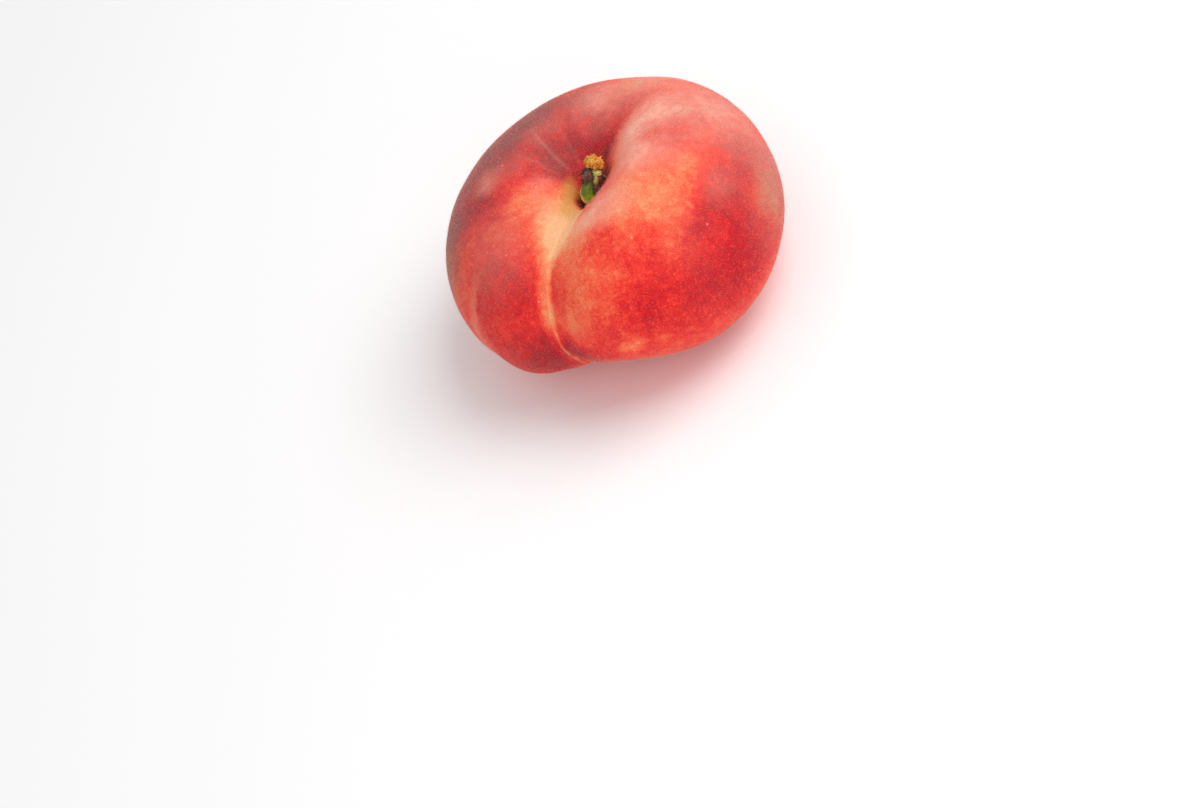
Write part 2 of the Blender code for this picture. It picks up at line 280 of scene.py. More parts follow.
# How ripe the skin is, from 0, cream, to 1, dark crimson, with a few patches of painted shade that deepen it.
# It starts even, and each patch lightens or deepens
# it: a patch is its place in millimetres, its reach, and its change in the middle.
EVEN_BLUSH = 0.64
BLUSH_SPAN = 1.1
BLUSH_AND_SHADE = [
    (-2.5, -8.5, 37.5, 10.5, -0.50),  # cream in the pit's mouth
    (-2.3, -15.5, 39.2, 8.5, -0.46),  # cream into the suture
    (-11.5, -9.5, 42.5, 9.0, -0.26),  # orange left of the cream
    (-12.5, -18.5, 41.3, 6.5, -0.12),  # salmon middle of the far lobe
    (-4.0, 7.0, 40.0, 13.0, 0.30),  # crimson behind the stem
    (-15.0, 5.5, 43.0, 14.0, 0.28),  # crimson inner side
    (-22.5, -10.0, 42.0, 11.5, 0.34),  # crimson streak outward
    (-13.0, -29.0, 37.0, 13.0, 0.17),  # crimson of the far lobe
    (-7.0, -36.0, 17.0, 18.0, 0.35),  # dark foot of the far lobe
    (-31.0, -24.0, 31.0, 12.0, -0.22),  # pale flank of the far lobe
    (-38.0, -4.0, 20.0, 20.0, 0.16),  # crimson side of the far lobe
    (-1.0, 19.0, 40.0, 14.0, 0.26),  # crimson valley behind
    (20.5, -9.0, 45.5, 16.0, -0.30),  # orange of the near lobe
    (28.0, 1.5, 44.0, 7.0, -0.24),  # orange fleck
    (19.0, 12.0, 45.0, 14.0, 0.14),  # red crown
    (35.0, 2.0, 38.0, 13.0, 0.20),  # red shoulder
    (27.0, 22.0, 40.0, 17.0, 0.20),  # red far crown
    (38.0, -11.0, 28.0, 19.0, 0.30),  # red cheek
    (28.0, -27.0, 30.0, 19.0, 0.15),  # red under the near lobe
    (9.0, -26.0, 40.5, 8.0, -0.16),  # orange lip of the near lobe
    (6.0, -14.0, 42.5, 8.0, -0.22),  # salmon lip at the pit
    (11.0, -32.0, 35.0, 11.0, -0.20),  # orange by the crease
    (3.5, -18.5, 41.0, 9.0, -0.28),  # salmon wall of the near lobe
    # Partly painted shade: the red deepened at the pit's edge.
    (-7.5, 0.5, 39.8, 8.0, 0.20),  # crimson edge of the pit
    (-24.0, 1.0, 42.0, 8.0, 0.08),  # crimson inside the bloom
    # Partly painted shade: darker red behind the stem, by the pit.
    (0.5, 9.5, 39.5, 8.0, 0.12),  # dark crimson behind the stem
    (8.0, 4.0, 43.0, 7.0, -0.20),  # tan lip behind the stem
    (28.0, -7.0, 43.0, 9.0, -0.11),  # orange top of the cheek
    (33.0, -8.5, 38.5, 8.0, 0.12),  # red front of the cheek
    (30.0, -16.0, 38.0, 8.0, -0.12),  # orange spot on the cheek
    (36.0, -10.5, 32.0, 8.0, -0.10),  # orange edge of the cheek
    (4.5, -25.5, 39.0, 6.0, -0.08),  # pale right side of the crease
    (4.0, -33.5, 29.5, 8.5, -0.20),  # pale middle of the crease
    (16.0, -31.0, 32.0, 18.0, 0.06),  # red lower near lobe
    (3.0, -37.0, 19.0, 14.0, 0.26),  # red foot of the suture
    (17.0, -27.5, 38.5, 9.0, -0.11),  # orange low on the near lobe
    (16.5, -6.0, 46.0, 8.0, -0.06),  # orange over the near lobe
    (18.0, -34.0, 24.0, 4.5, -0.32),  # yellow fleck
    (24.0, -31.0, 22.5, 4.5, -0.24),  # smaller yellow fleck
    (40.0, 8.0, 27.0, 10.0, -0.32),  # tan flank
    (24.0, 34.0, 25.0, 22.0, 0.16),  # red back of the near lobe
    (-2.0, 36.0, 24.0, 14.0, -0.28),  # orange back of the valley
    (-30.0, 20.0, 24.0, 22.0, 0.20),  # crimson back of the far lobe
    (-12.0, 34.0, 14.0, 9.0, -0.18),  # orange spot behind
    (6.0, 36.0, 20.0, 10.0, 0.14),  # dark spot behind
    (20.0, 34.0, 13.0, 7.0, -0.20),  # yellow spot behind
    (24.5, -16.5, 41.0, 7.0, 0.10),  # red spot on the near lobe
    # Painted shade: deeper, darker red beside the suture.
    (-5.5, -28.5, 37.0, 10.0, 0.10),  # crimson beside the suture
    (4.0, 4.0, -4.0, 33.0, -0.55),  # yellow underside
]

# Where the down catches the light, as pale haze that is partly painted sheen, where it dulls the red to a
# greyish plum (with one patch of painted shade among them), where the ground colour is olive, and where the
# pit round the stem lies in shadow, painted as dark brown shade.
PALE_HAZE = [
    (9.0, 9.5, 43.5, 8.5, 0.62),
    (12.5, 1.5, 45.3, 8.5, 0.52),
    (18.5, 3.0, 46.4, 9.5, 0.46),
    (25.5, 6.5, 44.3, 8.0, 0.10),
    (14.0, 15.0, 44.8, 10.0, 0.66),
    (12.5, 6.5, 44.8, 7.0, 0.16),
    (12.0, -10.0, 45.2, 9.0, 0.55),
    (6.5, -13.0, 42.5, 7.0, 0.60),
    (25.0, 21.0, 40.0, 20.0, 0.58),
    (4.0, 28.0, 38.0, 17.0, 0.48),
    (-7.0, 23.0, 40.3, 9.0, 0.42),
    (38.0, 15.0, 27.0, 14.0, 0.28),
    (-16.0, 11.0, 42.5, 9.0, 0.24),
    (-6.0, 17.0, 41.0, 9.0, 0.16),
    (34.0, 1.0, 39.0, 9.0, 0.18),
    (-10.0, 3.0, 42.0, 9.0, 0.10),
    (-6.5, -11.0, 41.0, 6.0, 0.14),
    (-22.5, -5.5, 42.3, 6.5, 0.44),
    (-18.0, 0.0, 43.0, 7.0, 0.12),
    (-9.5, -4.5, 40.5, 5.0, 0.25),
    (-15.0, -24.0, 40.0, 14.0, 0.14),
]
PLUM_BLOOM_AND_SHADE = [
    (-25.0, 9.0, 41.5, 15.5, 1.00),
    (-17.0, 18.5, 41.0, 13.0, 0.78),
    (-28.5, 0.0, 40.5, 11.5, 0.76),
    (-33.0, -10.0, 34.0, 16.5, 0.84),
    (-32.0, -22.0, 31.0, 15.0, 0.52),
    (-9.0, 23.0, 40.5, 9.0, 0.40),
    (-7.0, 11.0, 41.5, 9.0, 0.16),
    (-33.0, -18.0, 32.0, 14.0, 0.30),
    (-20.0, -13.0, 42.0, 11.0, 0.28),
    (-23.0, 0.5, 42.7, 9.0, 0.30),
    (-14.0, -7.0, 42.8, 10.0, 0.16),
    (-21.0, -17.0, 41.0, 10.0, 0.14),
    (-14.0, -24.0, 39.5, 9.0, 0.10),
    (-12.5, -17.5, 41.3, 9.0, 0.18),
    (-28.0, -17.0, 37.0, 10.0, 0.22),
    (-15.0, -24.0, 39.0, 17.0, 0.12),
    (-31.0, 14.0, 29.0, 15.0, 0.45),
    (-18.0, 28.0, 31.0, 14.0, 0.42),
    (-37.0, -10.0, 22.0, 24.0, 0.42),
    (-35.0, 12.0, 22.0, 20.0, 0.34),
    (40.0, 14.0, 19.0, 22.0, 0.16),
    (39.5, 9.0, 27.0, 18.0, 0.52),
    # Painted shade: duller, darker plum on the lower right flank, where it turns from the light.
    (40.0, -4.0, 24.0, 12.0, 0.14),
    (31.0, -10.0, 39.0, 9.0, 0.12),
    (31.0, -14.5, 37.0, 11.0, 0.12),
    (36.0, 18.0, 21.0, 16.0, 0.12),
    (33.0, 12.0, 37.0, 11.0, 0.25),
]
OLIVE_GROUND = [
    (-4.5, -2.5, 36.5, 5.0, 0.85),
    (-2.5, -6.5, 36.0, 4.5, 0.60),
    (-1.0, -9.5, 36.8, 4.5, 0.55),
    (1.0, 28.5, 38.4, 6.0, 0.35),
    (4.5, 3.5, 36.0, 5.0, 0.30),
]
# Painted shade: the pit wall beside and behind the stem, and the gap below it, darkened where they lie in
# shadow.
PIT_SHADE = [
    (4.2, 2.4, 38.2, 4.0, 0.92),
    (2.2, 7.5, 38.6, 4.5, 0.40),
    (-2.6, -3.2, 33.4, 3.0, 0.92),
]

# Where the red is clearest, with the least veil of down over it.
CLEAR_RED = [
    (24.0, -28.0, 31.0, 18.0, 0.90),
    (38.0, -10.0, 27.0, 15.0, 0.90),
    (3.0, -37.0, 19.0, 14.0, 0.90),
    (-7.0, -32.0, 31.0, 11.0, 0.70),
]

# Thin pale lines where the skin creased: their ends in millimetres, half their width, and strength.
PALE_LINES = [
    ((-20.0, 11.8, 42.3), (-5.0, 2.0, 38.0), 0.90, 0.15),
    ((-24.0, 3.0, 42.6), (-6.5, 0.5, 38.8), 0.80, 0.08),
    ((-31.0, -6.0, 38.5), (-21.0, -7.0, 43.2), 0.80, 0.16),
    ((-14.0, 14.0, 42.8), (-3.0, 4.5, 38.0), 0.80, 0.08),
]


# The suture strays furthest this far in front of the stem, and over as long a run, in millimetres.
SUTURE_BEND = 12.0


def patches(paint, where, places, start=0.0):
    """Adds up soft round patches, each strongest in its middle and gone at its reach."""
    total = start
    for *centre, reach, change in places:
        away = paint.vector("DISTANCE", where, centre)
        total = paint.plus(total, paint.rise(away, 0.0, reach, change, 0.0))
    return total


def suture_stray(paint, y):
    """How far the suture wanders towards the far lobe on top, in millimetres."""
    share = paint.math("DIVIDE", paint.plus(y, SUTURE_BEND), SUTURE_BEND)
    return paint.times(paint.math("EXPONENT", paint.times(share, share, -1.0)), -1.0)


def pale_line(paint, where, start, end, half):
    """A thin line over the skin from start to end, seen square to the skin."""
    run = end - start
    middle = (start + end) / 2.0
    across = run.cross(middle - HEART / MM).normalized()
    from_start = paint.vector("SUBTRACT", where, tuple(start))
    share = paint.vector("DOT_PRODUCT", from_start, tuple(run / run.length_squared))
    aside = paint.size_of(paint.vector("DOT_PRODUCT", from_start, tuple(across)))
    away = paint.vector("DISTANCE", where, tuple(middle))
    return paint.times(
        paint.rise(aside, half, 0.0), paint.rise(share, 0.0, 0.25), paint.rise(share, 1.0, 0.85),
        paint.rise(away, 0.72 * run.length, 0.55 * run.length),
    )


def skin_paint():
    paint = Paint("peach skin")
    place = paint.place_mm()
    x, y, z = paint.split(paint.vector("SUBTRACT", place, tuple(HEART / MM)))
    flat = paint.math("SQRT", paint.plus(paint.times(x, x), paint.times(y, y)))
    polar = paint.math("ARCTAN2", flat, z)
    turn = paint.vector("NORMALIZE", paint.join(x, y, 0.0))
    ahead, aside, _ = paint.split(turn)

    def combed(across, along):
        """Places drawn out along the meridians, as the skin stretched when the fruit swelled."""
        sides = [paint.times(side, across) for side in (ahead, aside)]
        return paint.join(*sides, paint.times(polar, along))

    streaks = paint.noise(combed(24.0, 3.6), 1.0, detail=3.0, rough=0.62, bend=1.2)
    strokes = paint.noise(combed(10.0, 5.0), 1.0, detail=4.0, rough=0.60, bend=0.9)
    drift = paint.vector("SUBTRACT", paint.noise(place, 7.0, out="Color"), (0.5, 0.5, 0.5))
    drift = paint.vector("SCALE", drift, 7.0)
    where = paint.vector("ADD", place, drift)
    where_line = paint.vector("ADD", place, paint.vector("SCALE", drift, 0.30))

    # Ripeness of the skin, with a few patches of painted shade among its patches.
    blush_and_shade = patches(paint, where, BLUSH_AND_SHADE, EVEN_BLUSH)
    wander = paint.times(paint.minus(paint.noise(place, 5.0), 0.5), 0.9)
    crease = paint.plus(paint.minus(x, suture_stray(paint, y)), wander)
    front = paint.rise(y, -3.0, -9.0)
    widen = paint.rise(y, -24.0, -14.5)
    band_end = paint.math("MULTIPLY_ADD", widen, -2.6, crease)
    band = paint.times(
        paint.rise(crease, -3.8, -0.9), paint.rise(band_end, 1.3, -0.4), front,
        paint.rise(z, -10.0, 14.0, 0.35, 1.0),
    )
    blush_and_shade = paint.math("MULTIPLY_ADD", band, -0.36, blush_and_shade)
    for pattern, depth in (
        (paint.noise(where, 5.0, detail=3.0, rough=0.55), 0.26),
        (strokes, 0.26),
        (streaks, 0.10),
        (paint.noise(place, 2.2, detail=3.0, rough=0.6), 0.32),
        (paint.noise(place, 0.8, detail=3.0, rough=0.65), 0.28),
        (paint.noise(place, 0.38, rough=0.6), 0.34),
    ):
        blush_and_shade = paint.math("MULTIPLY_ADD", paint.minus(pattern, 0.5), depth, blush_and_shade)
    pore = paint.cells(place, 1.9)
    blush_and_shade = paint.plus(blush_and_shade, paint.rise(pore, 0.16, 0.46, -0.08, 0.0))
    blush_and_shade = paint.plus(blush_and_shade, paint.rise(pore, 0.04, 0.12, 0.16, 0.0))
    skin = paint.ramp(paint.math("DIVIDE", blush_and_shade, BLUSH_SPAN), [
        (0.00, tint(244, 184, 134)),
        (0.16, tint(244, 158, 110)),
        (0.32, tint(243, 124, 84)),
        (0.46, tint(244, 86, 57)),
        (0.60, tint(234, 44, 38)),
        (0.74, tint(207, 20, 33)),
        (0.87, tint(178, 14, 32)),
        (1.00, tint(138, 14, 32)),
    ])

    ridge = paint.times(
        paint.rise(paint.size_of(paint.plus(crease, 0.35)), 0.42, 0.05),
        front,
        paint.rise(z, 17.0, 10.0), paint.rise(z, -14.0, -4.0),
        paint.rise(strokes, 0.32, 0.62, 0.06, 0.50),
    )
    skin = paint.mix(ridge, skin, tint(248, 178, 122))

    olive = patches(paint, where, OLIVE_GROUND)
    skin = paint.mix(paint.math("MINIMUM", olive, 0.9), skin, tint(206, 156, 72))

    azimuth = paint.math("ARCTAN2", x, paint.times(y, -1.0))
    second = paint.plus(azimuth, math.radians(35.5))
    second = paint.plus(second, paint.rise(strokes, 0.2, 0.8, -0.03, 0.03))
    reach = paint.times(paint.rise(polar, 0.90, 1.35), paint.rise(polar, 2.05, 1.60))
    beside = paint.size_of(paint.minus(second, 0.15))
    shade = paint.times(paint.rise(beside, 0.14, 0.0, 0.0, 0.30), reach)
    skin = paint.mix(shade, skin, tint(176, 20, 36))
    second = paint.times(paint.rise(paint.size_of(second), 0.058, 0.0), reach)

    veil = paint.minus(1.0, patches(paint, where, CLEAR_RED), clamp=True)
    # Partly painted sheen: pale haze where the down catches the light, over the down's own pale tone.
    haze = patches(paint, where, PALE_HAZE, paint.times(veil, 0.03))
    haze = paint.times(
        haze, paint.rise(streaks, 0.30, 0.70, 0.94, 1.05), paint.rise(strokes, 0.30, 0.70, 0.84, 1.10),
        paint.rise(paint.noise(place, 1.6, detail=3.0, rough=0.6), 0.30, 0.70, 0.84, 1.12),
        clamp=True,
    )
    skin = paint.mix(haze, skin, tint(250, 184, 162))
    second = paint.times(second, paint.rise(strokes, 0.3, 0.62, 0.20, 0.48))
    skin = paint.mix(second, skin, tint(228, 160, 134))
    for start, end, half, strength in PALE_LINES:
        line = pale_line(paint, where_line, Vector(start), Vector(end), half)
        line = paint.times(line, paint.rise(strokes, 0.3, 0.7, 0.4 * strength, strength))
        skin = paint.mix(line, skin, tint(246, 186, 166))

    # The greyish plum bloom of the down, with one patch of painted shade among its patches.
    bloom_and_shade = patches(paint, where, PLUM_BLOOM_AND_SHADE)
    bloom_and_shade = paint.math("MINIMUM", bloom_and_shade, 0.92)
    down = paint.noise(place, 0.55, detail=3.0, rough=0.75)
    bloom_and_shade = paint.times(
        bloom_and_shade, paint.rise(paint.noise(place, 9.0, detail=3.0), 0.32, 0.62, 0.80, 1.04),
        paint.rise(strokes, 0.25, 0.65, 0.78, 1.0), paint.rise(down, 0.3, 0.7, 0.85, 1.1),
        clamp=True,
    )
    skin = paint.mix(bloom_and_shade, skin, tint(145, 89, 88))
    # Painted shade: the pit round the stem turned dark brown where it lies in shadow.
    pit_shade = patches(paint, where_line, PIT_SHADE)
    pit_shade = paint.times(pit_shade, paint.rise(down, 0.3, 0.7, 0.75, 1.1), clamp=True)
    skin = paint.mix(pit_shade, skin, tint(74, 30, 20))

    below = paint.rise(z, -6.0, -10.0)
    scar_edge = paint.math("MULTIPLY_ADD", paint.noise(place, 1.3, detail=3.0), 2.4, flat)
    halo = paint.times(
        below, paint.rise(scar_edge, 10.0, 3.6, 0.0, 0.70),
        paint.rise(streaks, 0.35, 0.62, 0.55, 1.1),
        clamp=True,
    )
    skin = paint.mix(halo, skin, tint(222, 172, 92))
    cork = paint.mix(paint.rise(scar_edge, 2.2, 4.0), tint(104, 66, 40), tint(178, 132, 82))
    cracks = paint.noise(place, 0.8, detail=4.0, rough=0.7, bend=1.0)
    cork = paint.mix(paint.rise(cracks, 0.52, 0.60, 0.0, 0.8), cork, tint(66, 38, 24))
    skin = paint.mix(paint.times(below, paint.rise(scar_edge, 4.4, 3.5)), skin, cork)

    fleck = paint.rise(down, 0.54, 0.76, 0.0, 0.18)
    skin = paint.mix(paint.times(fleck, veil), skin, tint(252, 178, 150))
    velvet = paint.rise(paint.noise(place, 0.30, rough=0.6), 0.34, 0.66, 0.86, 1.10)
    skin = paint.mix(1.0, skin, velvet, blend="MULTIPLY")
    strewn = paint.rise(paint.noise(place, 6.0), 0.50, 0.62, 0.0, 0.5)
    specks = paint.times(paint.rise(paint.cells(place, 2.9), 0.10, 0.04), strewn)
    skin = paint.mix(specks, skin, tint(252, 208, 176))

    paint.colour(skin)
    paint.rough(paint.rise(strokes, 0.2, 0.8, 0.58, 0.74))
    paint.relief(paint.noise(place, 0.35, detail=3.0, rough=0.7), 0.00006)
    paint.set(
        Subsurface_Weight=0.10,
        Subsurface_Scale=0.0015,
        Subsurface_Radius=(1.0, 0.35, 0.2),
        Sheen_Weight=0.12,
        Sheen_Roughness=0.30,
        Sheen_Tint=(1.0, 0.82, 0.74, 1.0),
        Specular_IOR_Level=0.12,
    )
    return paint.material


# ---- shapes

MERGE_WITHIN = 0.000002
QUAD_ANGLE = math.radians(70.0)
# The fine relief of the skin fades out over this height above the table, so that it stands on its toes.
RELIEF_FROM_TABLE = 0.0025


def pick_only(piece):
    bpy.ops.object.select_all(action="DESELECT")
    piece.select_set(True)
    bpy.context.view_layer.objects.active = piece


def face_outward(piece):
    pick_only(piece)
    bpy.ops.object.mode_set(mode="EDIT")
    bpy.ops.mesh.select_all(action="SELECT")
    bpy.ops.mesh.normals_make_consistent(inside=False)
    bpy.ops.object.mode_set(mode="OBJECT")


def copy_node(node, name):
    """A merged copy of a CAD node, with quads where its triangles fit together."""
    piece = add_object(name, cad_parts[node].data.copy())
    piece.data.materials.clear()
    pick_only(piece)
    bpy.ops.object.mode_set(mode="EDIT")
    bpy.ops.mesh.select_all(action="SELECT")
    bpy.ops.mesh.remove_doubles(threshold=MERGE_WITHIN)
    bpy.ops.mesh.tris_convert_to_quads(face_threshold=QUAD_ANGLE, shape_threshold=QUAD_ANGLE)
    bpy.ops.object.mode_set(mode="OBJECT")
    face_outward(piece)
    return piece


def smooth_out(piece, levels):
    pick_only(piece)
    rounding = piece.modifiers.new("rounding", "SUBSURF")
    rounding.levels = levels
    rounding.render_levels = levels
    bpy.ops.object.modifier_apply(modifier=rounding.name)
    bpy.ops.object.shade_smooth()


def read_out(items, key):
    found = np.zeros(len(items) * 3)
    items.foreach_get(key, found)
    return found.reshape(-1, 3)


def points_of(piece):
    return read_out(piece.data.vertices, "co")


def outward_of(piece):
    return read_out(piece.data.vertex_normals, "vector")


def bump(value, width):
    return np.exp(-((value / width) ** 2))


def ease(value, low, high):
    share = np.clip((value - low) / (high - low), 0.0, 1.0)
    return share * share * (3.0 - 2.0 * share)


def lumps(points, size, seed):
    """Soft random relief, from -1 to 1, at each point."""
    shift = Vector((seed * 13.7, seed * 5.1, seed * 9.3))
    return np.array([noise.noise(Vector(point) / size + shift) for point in points])


def make_skin():
    skin = copy_node("fruit", "skin")
    smooth_out(skin, 2)
    points = points_of(skin)
    outward = outward_of(skin)
    x, y, z = ((points - np.array(HEART)) / MM).T
    flat = np.hypot(x, y)
    polar = np.degrees(np.arctan2(flat, z))
    azimuth = np.degrees(np.arctan2(x, -y))
    front = ease(-y, 2.0, 8.0)
    crease = x + bump(y + SUTURE_BEND, SUTURE_BEND)
    run = front * ease(polar, 22.0, 40.0) * ease(-polar, -128.0, -104.0)
    below = ease(-y, 16.0, 25.0)
    groove = 0.34 * bump(crease, 1.25) - 0.34 * bump(crease - 0.15, 0.40) + 0.12 * bump(crease + 0.55, 0.45)
    relief = run * below * groove
    relief += front * ease(polar, 18.0, 30.0) * (1.0 - below) * 0.80 * bump(crease, 1.6)
    second = azimuth + 31.5 - 2.0 * np.sin(np.radians(polar * 3.0))
    fold = -0.30 * bump(second, 2.6) + 0.16 * bump(second - 5.5, 3.5)
    relief += fold * ease(polar, 50.0, 66.0) * ease(-polar, -118.0, -96.0)
    relief += 0.16 * lumps(points, 0.011, 1) + 0.05 * lumps(points, 0.0035, 2)
    folds = np.sin(np.radians(azimuth) * 17.0 + 2.5 * lumps(points, 0.006, 3))
    relief += 0.10 * folds * bump(flat - 5.5, 2.6) * ease(z, 5.0, 12.0)
    puckers = np.sin(np.radians(azimuth) * 11.0 + 3.0 * lumps(points, 0.005, 4)) * ease(flat, 0.6, 3.0)
    blossom = 0.24 * puckers * bump(flat - 4.0, 3.2) - 0.75 * bump(flat, 1.5) + 0.18 * bump(flat - 2.6, 0.8)
    relief += blossom * ease(-z, 6.0, 10.0)
    relief *= ease(points[:, 2], 0.0, RELIEF_FROM_TABLE)
    skin.data.vertices.foreach_set("co", (points + outward * (relief * MM)[:, None]).ravel())
    skin.data.update()
    skin.data.materials.append(skin_paint())
    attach(skin, "root")
    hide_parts("fruit")
    return skin


# The down: hairs in each piece, their length and the radius of their foot in millimetres, and their lean.
HAIRS_A_PIECE = 49000
HAIR_LENGTH = (0.16, 0.62)
HAIR_FOOT = 0.012
HAIR_LEAN = 0.80
HAIR_SINK = 0.03
DOWN_PIECES = 3
DOWN_SEED = 5


def one_hair():
    """A hair one unit long, standing at the origin: the corners and faces of a three-sided spike."""
    bpy.ops.object.select_all(action="DESELECT")
    bpy.ops.mesh.primitive_cone_add(vertices=3, radius1=1.0, radius2=0.0, depth=1.0, location=(0.0, 0.0, 0.5))
    spike = bpy.context.active_object
    corners = points_of(spike) + np.array((0.0, 0.0, 0.5))
    faces = [tuple(face.vertices) for face in spike.data.polygons]
    bpy.data.objects.remove(spike, do_unlink=True)
    return corners, faces


def down_places(skin, count, draw):
    """Random even places on the skin: point, outward direction."""
    mesh = skin.data
    mesh.calc_loop_triangles()
    corners = np.zeros(len(mesh.loop_triangles) * 3, dtype=np.int64)
    mesh.loop_triangles.foreach_get("vertices", corners)
    corners = corners.reshape(-1, 3)
    areas = np.zeros(len(mesh.loop_triangles))
    mesh.loop_triangles.foreach_get("area", areas)
    points, outward = points_of(skin), outward_of(skin)
    picked = corners[draw.choice(len(corners), size=count, p=areas / areas.sum())]
    first, second = draw.random(count), draw.random(count)
    fold = first + second > 1.0
    first[fold], second[fold] = 1.0 - first[fold], 1.0 - second[fold]
    shares = np.stack((1.0 - first - second, first, second), axis=1)[:, :, None]
    return (points[picked] * shares).sum(axis=1), (outward[picked] * shares).sum(axis=1)


def make_down(skin):
    draw = np.random.default_rng(DOWN_SEED)
    corners, faces = one_hair()
    faces = np.array(faces)
    paint = Paint("down")
    tone = paint.noise(paint.place(), 0.002)
    paint.colour(paint.mix(tone, tint(240, 190, 166), tint(252, 220, 200)))
    paint.rough(0.6)
    for number in range(DOWN_PIECES):
        feet, out = down_places(skin, HAIRS_A_PIECE, draw)
        lean = draw.normal(size=feet.shape)
        heading = out + HAIR_LEAN * lean / np.linalg.norm(lean, axis=1)[:, None]
        pressed = feet[:, 2] < HAIR_LENGTH[1] * MM
        heading[pressed, 2] = np.maximum(heading[pressed, 2], 0.0)
        heading /= np.linalg.norm(heading, axis=1)[:, None]
        side = np.cross(heading, np.array((0.3, 0.2, 0.93)))
        side /= np.linalg.norm(side, axis=1)[:, None]
        other = np.cross(heading, side)
        length = (HAIR_LENGTH[0] + (HAIR_LENGTH[1] - HAIR_LENGTH[0]) * draw.random(len(feet)) ** 2) * MM
        spots = (
            (feet - out * HAIR_SINK * MM)[:, None, :]
            + side[:, None, :] * (corners[:, 0] * HAIR_FOOT * MM)[None, :, None]
            + other[:, None, :] * (corners[:, 1] * HAIR_FOOT * MM)[None, :, None]
            + heading[:, None, :] * corners[:, 2][None, :, None] * length[:, None, None]
        ).reshape(-1, 3)
        sides = (faces[None, :, :] + (np.arange(len(feet)) * len(corners))[:, None, None]).reshape(-1, 3)
        mesh = bpy.data.meshes.new("down")
        mesh.vertices.add(len(spots))
        mesh.vertices.foreach_set("co", spots.ravel())
        mesh.loops.add(sides.size)
        mesh.loops.foreach_set("vertex_index", sides.ravel().astype(np.int32))
        mesh.polygons.add(len(sides))
        mesh.polygons.foreach_set("loop_start", np.arange(0, sides.size, 3, dtype=np.int32))
        mesh.update(calc_edges=True)
        down = add_object(f"down_{number + 1}", mesh)
        down.data.materials.append(paint.material)
        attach(down, "root")


# ---- rods and blades, laid along a path

def spot_on(path, place):
    """The centre and the heading at a place on a path eased through points. Whole numbers are its points."""
    last = len(path) - 1
    index = min(max(int(place), 0), last - 1)
    t = place - index
    before, low, high, after = [Vector(path[max(0, min(last, index + step))]) for step in (-1, 0, 1, 2)]
    run = high - before
    bend = before * 2.0 - low * 5.0 + high * 4.0 - after
    twist = low * 3.0 - before - high * 3.0 + after
    centre = (low * 2.0 + run * t + bend * t * t + twist * t * t * t) / 2.0
    heading = run + bend * 2.0 * t + twist * 3.0 * t * t
    return centre, heading.normalized()


def square_to(heading):
    """Two directions square to a heading: one towards +X, one round from it."""
    side = (Vector((1.0, 0.0, 0.0)) - heading * heading.x).normalized()
    return side, heading.cross(side)


def straight_rod(name, rings, sides, levels):
    """A closed upright rod, extruded through rings of half width and half depth, one unit of height apart."""
    bpy.ops.object.select_all(action="DESELECT")
    bpy.ops.mesh.primitive_circle_add(vertices=sides, radius=1.0, fill_type="NGON", location=(0.0, 0.0, 0.0))
    rod = bpy.context.active_object
    rod.name = name
    bpy.ops.object.mode_set(mode="EDIT")
    bpy.ops.mesh.select_all(action="SELECT")
    bpy.ops.transform.resize(value=(*rings[0], 1.0), center_override=(0.0, 0.0, 0.0))
    for height, (below, above) in enumerate(zip(rings, rings[1:])):
        bpy.ops.mesh.extrude_region_move(TRANSFORM_OT_translate={"value": (0.0, 0.0, 1.0)})
        growth = (above[0] / below[0], above[1] / below[1], 1.0)
        bpy.ops.transform.resize(value=growth, center_override=(0.0, 0.0, height + 1.0))
    bpy.ops.mesh.select_all(action="SELECT")
    bpy.ops.mesh.normals_make_consistent(inside=False)
    bpy.ops.object.mode_set(mode="OBJECT")
    smooth_out(rod, levels)
    return rod


def lay_along(rod, path):
    """Lays an upright rod along a path in millimetres from the heart, one point for each unit of height."""
    laid = []
    for x, y, height in points_of(rod):
        centre, heading = spot_on(path, height)
        side, round_side = square_to(heading)
        laid.append(HEART + (centre + side * x + round_side * y) * MM)
    move_points(rod, laid)


def move_points(piece, points):
    piece.data.vertices.foreach_set("co", np.array(points).ravel())
    piece.data.update()


def finish_piece(piece, material, node):
    piece.data.materials.clear()
    piece.data.materials.append(material)
    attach(piece, "root")
    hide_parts(node)


def merged(name, pieces):
    bpy.ops.object.select_all(action="DESELECT")
    for piece in pieces:
        piece.select_set(True)
    bpy.context.view_layer.objects.active = pieces[0]
    bpy.ops.object.join()
    pieces[0].name = name
    return pieces[0]


# ---- the stem

# Where the stem runs, in millimetres from the heart, and its half width and half depth there.
STEM_PATH = [
    (0.0, 0.0, 4.7), (0.0, 0.0, 6.6), (0.0, 0.0, 8.6), (-0.1, 0.0, 10.4), (-0.2, 0.0, 12.2),
    (-0.1, 0.1, 13.8), (0.1, 0.3, 15.2), (0.4, 0.8, 16.3), (0.7, 1.5, 17.2), (1.2, 2.6, 18.4),
    (1.7, 3.8, 19.6),
]
STEM_RINGS = [
    (1.25, 0.95), (1.05, 0.90), (0.90, 0.85), (0.95, 0.90), (1.25, 1.25), (1.78, 1.76),
    (1.98, 2.42), (1.60, 1.95), (1.10, 1.30), (0.90, 0.90), (1.00, 1.00),
]
BULB_MIDDLE = (0.05, 0.2, 14.6)
STUB_PATH = [
    (1.0, 0.1, 14.4), (1.5, 0.6, 15.6), (2.1, 1.3, 16.9), (2.5, 2.0, 18.0), (2.9, 2.6, 19.2),
    (3.1, 2.9, 20.0),
]
